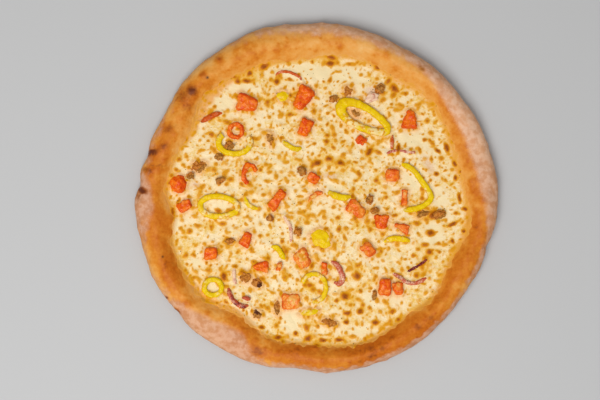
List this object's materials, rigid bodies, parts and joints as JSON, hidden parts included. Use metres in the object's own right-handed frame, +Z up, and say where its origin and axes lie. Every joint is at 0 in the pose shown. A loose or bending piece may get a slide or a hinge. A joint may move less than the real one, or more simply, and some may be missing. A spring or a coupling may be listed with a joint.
{
  "type": "cheese pizza with tomato, banana pepper and onion",
  "caption": "Whole round baked pizza with a puffed golden rim, browned melted cheese, diced tomato, yellow pepper rings, red onion slivers and brown crumbles.",
  "frame": {"origin": "under the middle of the pizza's outline, on the surface that it rests on", "axes": "+Z up through the pizza, +X across its widest way, +Y towards the top of the view from above"},
  "size_m": [0.305, 0.2932, 0.0233],
  "materials": {
    "crust": "baked dough, matt",
    "cheese": "melted cheese, slightly oily",
    "tomato": "moist",
    "pepper": "moist",
    "onion": "moist",
    "crumble": "rough, browned"
  },
  "bodies": {
    "root": {"cheese": "cheese", "crumble_01": "crumble", "crumble_02": "crumble", "crumble_03": "crumble", "crumble_04": "crumble", "crumble_05": "crumble", "crumble_06": "crumble", "crumble_07": "crumble", "crumble_08": "crumble", "crumble_09": "crumble", "crumble_10": "crumble", "crust": "crust", "onion_1": "onion", "onion_2": "onion", "onion_3": "onion", "onion_4": "onion", "onion_5": "onion", "onion_6": "onion", "onion_7": "onion", "onion_8": "onion", "onion_9": "onion", "pepper_end_1": "pepper", "pepper_end_2": "pepper", "pepper_end_3": "pepper", "pepper_ring_1": "pepper", "pepper_ring_2": "pepper", "pepper_ring_3": "pepper", "pepper_ring_4": "pepper", "pepper_ring_5": "pepper", "pepper_strip_1": "pepper", "pepper_strip_2": "pepper", "pepper_strip_3": "pepper", "pepper_strip_4": "pepper", "pepper_strip_5": "pepper", "pepper_strip_6": "pepper", "tomato_01": "tomato", "tomato_02": "tomato", "tomato_03": "tomato", "tomato_04": "tomato", "tomato_05": "tomato", "tomato_06": "tomato", "tomato_07": "tomato", "tomato_08": "tomato", "tomato_09": "tomato", "tomato_10": "tomato", "tomato_11": "tomato", "tomato_12": "tomato", "tomato_13": "tomato", "tomato_14": "tomato", "tomato_15": "tomato", "tomato_16": "tomato", "tomato_17": "tomato", "tomato_18": "tomato", "tomato_19": "tomato", "tomato_20": "tomato", "tomato_21": "tomato", "tomato_band_1": "tomato", "tomato_band_2": "tomato", "tomato_half": "tomato", "tomato_slice": "tomato"}
  },
  "joints": []
}
